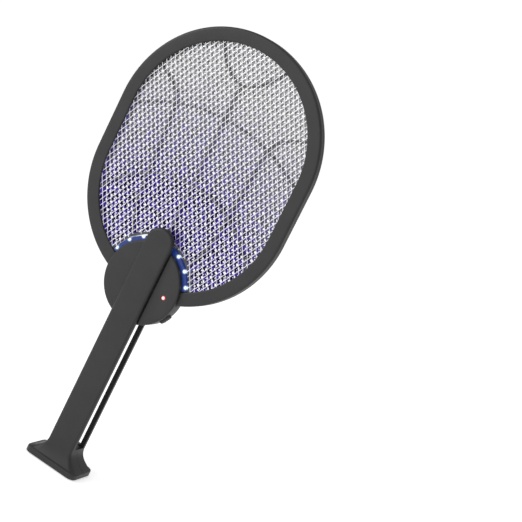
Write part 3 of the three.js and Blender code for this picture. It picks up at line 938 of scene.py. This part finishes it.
# ---- Housing covers ----
# The round housing is two charcoal mouldings screwed together over the frame's ends. A channel
# across each lets the leg pass, and the rim is open for the lamp, the button and the socket.
HOUSING_R = 39.1
HOUSING_HALF = 8.7
WALL = 1.8
COVER_PARTING = 0.06
CHANNEL_HALF = 15.0
CHANNEL_FLOOR = 6.7
LENS_ANGLE = 73.0
SIDE_ANGLE = 30.0
LOW_SCREW = (22.5, -25.0)
TAB_SCREW = (34.0, 2.4)
INDICATOR = (26.4, -1.6)
FRAME_ROOM = 0.35
LENS_WAY_HALF = 4.2
BEYOND = 50


def at_head(made, turned=0.0):
    """Lifts a piece drawn about the housing's centre to its place, turned down from the side."""
    made.data.transform(Matrix.Rotation(math.radians(turned), 4, "Y"))
    made.data.transform(Matrix.Translation((0, 0, HEAD_Z * MM)))
    return made


def span(side, near, far):
    """A depth range on one side of the middle plane, low value first."""
    return sorted((side * near, side * far))


def housing_cover(name, side):
    """One hollow cover, with ways for the leg, the frame's ends, the lamp, button and socket."""
    outside = HOUSING_HALF + 20
    keep = CHANNEL_HALF + 1.5
    cover = disc(HOUSING_R, -HOUSING_HALF, HOUSING_HALF, edge=1.9, sides=144)
    room = disc(HOUSING_R - 2, *span(side, -1, HOUSING_HALF - WALL), sides=96)
    cut_away(room, block(-keep, keep, *span(side, CHANNEL_FLOOR - 1.5, 20), -BEYOND, BEYOND))
    cut_away(
        cover,
        block(-BEYOND, BEYOND, *span(side, COVER_PARTING, -outside), -BEYOND, BEYOND),
        room,
        block(-CHANNEL_HALF, CHANNEL_HALF, *span(side, CHANNEL_FLOOR, 20), -BEYOND, BEYOND),
    )
    at_head(cover)
    outer = RING_R - RING_MIDDLE_R + FRAME_ROOM
    inner = RING_INNER_R - RING_MIDDLE_R - FRAME_ROOM
    low = RING_BACK - FRAME_ROOM
    high = RING_FRONT + FRAME_ROOM
    section = [(outer, low), (outer, high), (inner, high), (inner, low)]
    ways = [
        strip("way", [arc(ARC_LOW, RING_MIDDLE_R, way * 166, way * 148, 24)], section, charcoal)
        for way in (-1, 1)
    ]
    lens_section = [(x, way * LENS_WAY_HALF) for x, way in ((3.0, -1), (3.0, 1), (-3.4, 1), (-3.4, -1))]
    lens_end = LENS_ANGLE + 0.6
    lens_path = arc(0, HOUSING_R - 0.2, -lens_end, lens_end, 72)
    lens_way = strip("way", [lens_path], lens_section, charcoal)
    button_way = at_head(block(34.5, 45, -3.1, 3.1, -5.9, 5.9), SIDE_ANGLE)
    socket_way = at_head(block(-45, -34.5, -1.3, 2.7, -4.9, 4.9), -SIDE_ANGLE)
    cut_away(cover, *ways, lens_way, button_way, socket_way)
    holes = []
    if side < 0:
        holes.append(at_head(disc(2.3, -20, 0, *INDICATOR, sides=40)))
    else:
        for x, z in (LOW_SCREW, TAB_SCREW):
            for way in (-1, 1):
                holes.append(at_head(disc(2.9, HOUSING_HALF - 1.9, 20, way * x, z, sides=32)))
    holes.append(at_head(block(-8.9, 8.9, *span(side, 4, 9), -33.3, -25.7)))
    cut_away(cover, *holes)
    cover.name = name
    cover.data.name = name
    return cover


for node, name, side in (
    ("housing_front_cover", "front_housing_cover", -1),
    ("housing_rear_cover", "rear_housing_cover", 1),
):
    cover = housing_cover(name, side)
    smoothed(painted(cover, charcoal))
    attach(cover, "head")
    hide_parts(node)

# ---- Screws ----
# Zinc plated pan-head screws with a cross recess, put in from behind: two in the foot, four in
# the housing and seven round the frame.
SCREW_SEED = 3
EVEN_GRAIN = Vector((1.0, 1.0, 1.0))
screw_steel = brushed("zinc plated steel", (0.52, 0.53, 0.55), rough=0.3, grain=EVEN_GRAIN * 200)


def screw_head(radius, length):
    """One screw with its head at the origin, facing +Y, with a cross recess."""
    domed = [(0.35 * radius, 0.0), (0.75 * radius, -0.12 * radius), (0.95 * radius, -0.3 * radius)]
    under = -0.62 * radius
    shank = [(0.48 * radius, under), (0.45 * radius, -length), (0.1 * radius, -length - 0.3)]
    profile = [*domed, (radius, -0.45 * radius), (radius, under), *shank]
    sides = 24
    circle = [2 * math.pi * i / sides for i in range(sides)]
    made = skin(
        "screw",
        [[(r * math.cos(a), y, r * math.sin(a)) for a in circle] for r, y in profile],
    )
    arm = 0.58 * radius
    thin = 0.13 * radius
    deep = -0.42 * radius
    return cut_away(
        made,
        block(-arm, arm, deep, 1, -thin, thin),
        block(-thin, thin, deep, 1, -arm, arm),
    )


# The screw tree puts one screw on each point, turned about its own axis by a seeded angle.
screw_tree, given, result = new_tree(
    "screws on points",
    spots=("NodeSocketObject", None),
    screw=("NodeSocketObject", None),
    seed=("NodeSocketInt", SCREW_SEED),
    material=("NodeSocketMaterial", None),
)
screw_spots = new_node(screw_tree, "GeometryNodeObjectInfo", {"Object": given.outputs["spots"]})
screw_shape = new_node(screw_tree, "GeometryNodeObjectInfo", {"Object": given.outputs["screw"]})
# Input 3 is the highest angle and output 1 the random number.
screw_turn_values = {3: math.pi, "Seed": given.outputs["seed"]}
screw_turn = new_node(screw_tree, "FunctionNodeRandomValue", screw_turn_values, data_type="FLOAT")
screw_way = new_node(screw_tree, "ShaderNodeCombineXYZ", {"Y": screw_turn.outputs[1]})
screw_set = new_node(
    screw_tree,
    "GeometryNodeInstanceOnPoints",
    {
        "Points": screw_spots.outputs["Geometry"],
        "Instance": screw_shape.outputs["Geometry"],
        "Rotation": screw_way.outputs["Vector"],
    },
)
end_tree(screw_tree, given, result, screw_set.outputs["Instances"])

for group, count, body, radius in (
    ("handle_screw", 2, "handle", 2.6),
    ("housing_screw", 4, "head", 2.6),
    ("frame_screw", 7, "head", 2.0),
):
    names = [f"{group}_{i + 1}" for i in range(count)]
    boxes = [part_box(name) for name in names]
    length = (boxes[0][1].y - boxes[0][0].y) / MM
    seats = bpy.data.meshes.new("seats")
    seats.from_pydata([((lo.x + hi.x) / 2, hi.y, (lo.z + hi.z) / 2) for lo, hi in boxes], [], [])
    spots = mesh_object("seats", seats)
    pattern = screw_head(radius, length)
    screws = grown(
        group + "s", screw_tree, spots=spots, screw=pattern, seed=SCREW_SEED, material=screw_steel
    )
    for spent in (spots, pattern):
        bpy.data.objects.remove(spent)
    smoothed(screws)
    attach(screws, body)
    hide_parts(*names)

# ---- Lamp window ----
# A clear blue-violet acrylic band round the upper rim of the housing. It is lit from inside and
# shows a pale dot in front of each light-emitting diode.
LENS_IN = 36.5
LENS_OUT = 43.3
LENS_HALF = 3.8
DOT_REACH = 2.9


def lit_plastic(name, dark, bright, strength, hot=None, hot_colour=None, rough=0.2, scale=300.0):
    """Clear plastic with a light behind it: cloudy between two tints, and paler where it is hot."""
    material, tree, shader = new_material(name)
    shader.inputs["Roughness"].default_value = rough
    shader.inputs["Emission Strength"].default_value = strength
    place = object_place(tree)
    cloud = new_node(tree, "ShaderNodeTexNoise", {"Vector": place, "Scale": scale})
    colour = two_tints(tree, cloud, dark, bright)
    if hot:
        colour = mixed(tree, hot(tree, place), colour, (*hot_colour, 1.0))
    tree.links.new(colour, shader.inputs["Base Color"])
    tree.links.new(colour, shader.inputs["Emission Color"])
    return material


lens_blue = lit_plastic(
    "lit blue acrylic",
    dark=(0.001, 0.005, 0.045),
    bright=(0.004, 0.024, 0.16),
    rough=0.4,
    strength=1.0,
    hot=lambda tree, place: near_diodes(tree, place, DOT_REACH),
    hot_colour=(0.72, 0.86, 1.0),
)
lens_middle = (LENS_IN + LENS_OUT) / 2
lens_half_deep = (LENS_OUT - LENS_IN) / 2
lens = strip(
    "lamp_window",
    [arc(0, lens_middle, -LENS_ANGLE, LENS_ANGLE, 96)],
    rounded(
        [
            (-lens_half_deep, -LENS_HALF, 0.4),
            (lens_half_deep, -LENS_HALF, 1.6),
            (lens_half_deep, LENS_HALF, 1.6),
            (-lens_half_deep, LENS_HALF, 0.4),
        ]
    ),
    lens_blue,
)
smoothed(lens)
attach(lens, "head")
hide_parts("lamp_lens")

# ---- Light-emitting diodes ----
# Eight small ultraviolet diodes in clear epoxy, soldered on the curved board, their domes just
# under the window.
led_light = lit_plastic("lit diode", dark=(0.55, 0.68, 1.0), bright=(0.85, 0.92, 1.0), strength=3.0)
for i in range(len(LED_ANGLES)):
    refinish(f"uv_led_{i + 1}", led_light)

# ---- Electrics inside the housing ----
# Green circuit boards, a foil pouch cell, a ferrite-cored transformer, a dipped capacitor and the
# switch under the button, as they are bought in.
solder_mask = moulded("green solder mask", (0.015, 0.10, 0.035), rough=0.35, grain=0.2, grain_size=1.5)
foil = brushed("pouch cell foil", (0.62, 0.63, 0.65), rough=0.38, grain=EVEN_GRAIN * 150, depth=0.6)
ferrite = moulded("ferrite core", (0.022, 0.02, 0.018), rough=0.6, grain=0.9)
dipped_resin = moulded("dipped red-brown resin", (0.24, 0.045, 0.025), rough=0.25, grain=0.1)
for node, material in (
    ("led_board", solder_mask),
    ("main_board", solder_mask),
    ("battery_pack", foil),
    ("step_up_transformer", ferrite),
    ("storage_capacitor", dipped_resin),
    ("tact_switch", black_plastic),
):
    refinish(node, material)

# ---- Indicator ----
# A clear red light pipe through the front cover with a small domed end, over a red diode that
# shows while the nets are live.
PIPE_R = 2.0
PIPE_COLLAR_R = 2.9


def near_pipe_axis(tree, place):
    """A socket that is 1 on the light pipe's axis and falls to 0 towards its rim."""
    away = way_across(tree, place, (INDICATOR[0], 0.0, HEAD_Z + INDICATOR[1]))
    return spread(tree, away, 1.0, 0.0, 0.6 * MM, 1.9 * MM)


indicator_red = lit_plastic(
    "lit red acrylic",
    dark=(0.30, 0.01, 0.01),
    bright=(0.55, 0.03, 0.03),
    strength=1.0,
    hot=near_pipe_axis,
    hot_colour=(1.0, 0.62, 0.58),
    scale=1200.0,
)

light_pipe = at_head(disc(PIPE_R, -9.0, -5.6, *INDICATOR, edge=0.9, sides=40))
pipe_collar = at_head(disc(PIPE_COLLAR_R, -6.4, -5.2, *INDICATOR, sides=40))
cut_away(light_pipe, pipe_collar, operation="UNION")
light_pipe.name = "indicator_window"
smoothed(painted(light_pipe, indicator_red))
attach(light_pipe, "head")
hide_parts("indicator_light_pipe")
refinish("indicator_led", indicator_red)

# ---- Power button ----
# A black push button in the housing's rim, 30 degrees below the middle on the right. A flange
# keeps it in, and three raised ridges give the thumb a grip.
BUTTON_IN = 36.4
BUTTON_OUT = 41.2
BUTTON_HALF_Y = 2.7
BUTTON_HALF_Z = 5.5
FLANGE_STEP = 0.9
button = block(
    BUTTON_IN, BUTTON_OUT, -BUTTON_HALF_Y, BUTTON_HALF_Y, -BUTTON_HALF_Z, BUTTON_HALF_Z
)
rounding = button.modifiers.new("rounding", "BEVEL")
rounding.width = 0.9 * MM
rounding.segments = 4
cut_away(button)
flange_y = BUTTON_HALF_Y + FLANGE_STEP
flange_z = BUTTON_HALF_Z + FLANGE_STEP
flange = block(35.0, BUTTON_IN + 0.1, -flange_y, flange_y, -flange_z, flange_z)
cut_away(button, flange, operation="UNION")
ridges = [block(40.6, 41.5, -2.0, 2.0, z - 0.4, z + 0.4) for z in (-2.2, 0.0, 2.2)]
cut_away(button, *ridges, operation="UNION")
at_head(button, SIDE_ANGLE)
button.name = "push_button"
smoothed(painted(button, black_plastic))
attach(button, "button")
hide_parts("power_button")

# ---- Charging socket ----
# A USB-C receptacle in the rim on the left: a rolled steel shell with round ends round a thin
# contact tongue.
SOCKET_MIDDLE_Y = 0.7


def socket_ring(x, half_tall, half_wide):
    outline = rounded_rectangle(half_tall, half_wide, half_tall - 0.01)
    return [(x, SOCKET_MIDDLE_Y + a, b) for a, b in outline]


socket = skin(
    "charging_socket",
    [
        socket_ring(-30.5, 1.6, 4.5),
        socket_ring(-38.4, 1.6, 4.5),
        socket_ring(-38.6, 1.5, 4.4),
        socket_ring(-38.6, 1.3, 4.2),
        socket_ring(-33.5, 1.25, 4.15),
    ],
)
tongue = block(-37.6, -33.0, 0.35, 1.05, -3.3, 3.3)
cut_away(socket, tongue, operation="UNION")
at_head(socket, -SIDE_ANGLE)
smoothed(painted(socket, screw_steel))
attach(socket, "head")
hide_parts("usb_c_socket")

# ---- Floor, light and camera ----
# A wide pale sheet that glows faintly, and a white backdrop that is brighter to the camera than as
# light on the object. One large soft lamp stands at the left and a weaker one in front. The camera
# is turned so that the upright swatter leans to the right.
FLOOR_HALF = 30.0
FLOOR_GLOW = 0.45
BACKDROP_LIGHT = 0.6
BACKDROP_SEEN = 1.02
floor_mesh = bpy.data.meshes.new("floor")
floor_corners = [(-1, -1), (1, -1), (1, 1), (-1, 1)]
floor_points = [(x * FLOOR_HALF, y * FLOOR_HALF, 0) for x, y in floor_corners]
floor_mesh.from_pydata(floor_points, [], [(0, 1, 2, 3)])
floor = mesh_object("floor", floor_mesh)
floor_paint, _, floor_shader = new_material("pale floor")
floor_shader.inputs["Base Color"].default_value = (0.97, 0.97, 0.97, 1.0)
floor_shader.inputs["Emission Color"].default_value = (1.0, 1.0, 1.0, 1.0)
floor_shader.inputs["Emission Strength"].default_value = FLOOR_GLOW
floor_shader.inputs["Roughness"].default_value = 0.9
floor_shader.inputs["Specular IOR Level"].default_value = 0.1
floor_mesh.materials.append(floor_paint)

world = bpy.data.worlds.new("studio")
world.use_nodes = True
backdrop = world.node_tree.nodes["Background"]
backdrop.inputs["Color"].default_value = (1.0, 1.0, 1.0, 1.0)
seen = world.node_tree.nodes.new("ShaderNodeLightPath")
strength = new_node(
    world.node_tree, "ShaderNodeMapRange",
    {"To Min": BACKDROP_LIGHT, "To Max": BACKDROP_SEEN},
)
world.node_tree.links.new(seen.outputs["Is Camera Ray"], strength.inputs["Value"])
world.node_tree.links.new(strength.outputs["Result"], backdrop.inputs["Strength"])
bpy.context.scene.world = world
bpy.context.scene.view_settings.view_transform = "Standard"

for name, place, aim, size, power in (
    ("left_lamp", (-1.2, -0.9, 0.9), (0.0, 0.0, 0.2), 0.6, 11.0),
    ("front_lamp", (-0.2, -1.8, 0.7), (0.0, 0.0, 0.25), 0.8, 5.0),
):
    lamp_data = bpy.data.lights.new(name, "AREA")
    lamp_data.size = size
    lamp_data.energy = power
    lamp = bpy.data.objects.new(name, lamp_data)
    lamp.location = place
    lamp.rotation_euler = (Vector(aim) - Vector(place)).to_track_quat("-Z", "Y").to_euler()
    bpy.context.scene.collection.objects.link(lamp)

CAMERA_AT = Vector((0.4096, -0.9494, 0.4265))
LOOK_AT = Vector((0.0910, 0.0, 0.2658))
CAMERA_ROLL = 26.79
FOCAL_LENGTH = 78.9
camera_data = bpy.data.cameras.new("camera")
camera_data.sensor_width = 36.0
camera_data.lens = FOCAL_LENGTH
camera = bpy.data.objects.new("camera", camera_data)
camera.location = CAMERA_AT
aim = (LOOK_AT - CAMERA_AT).to_track_quat("-Z", "Y").to_matrix()
camera.rotation_euler = (aim @ Matrix.Rotation(math.radians(CAMERA_ROLL), 3, "Z")).to_euler()
bpy.context.scene.collection.objects.link(camera)
bpy.context.scene.camera = camera
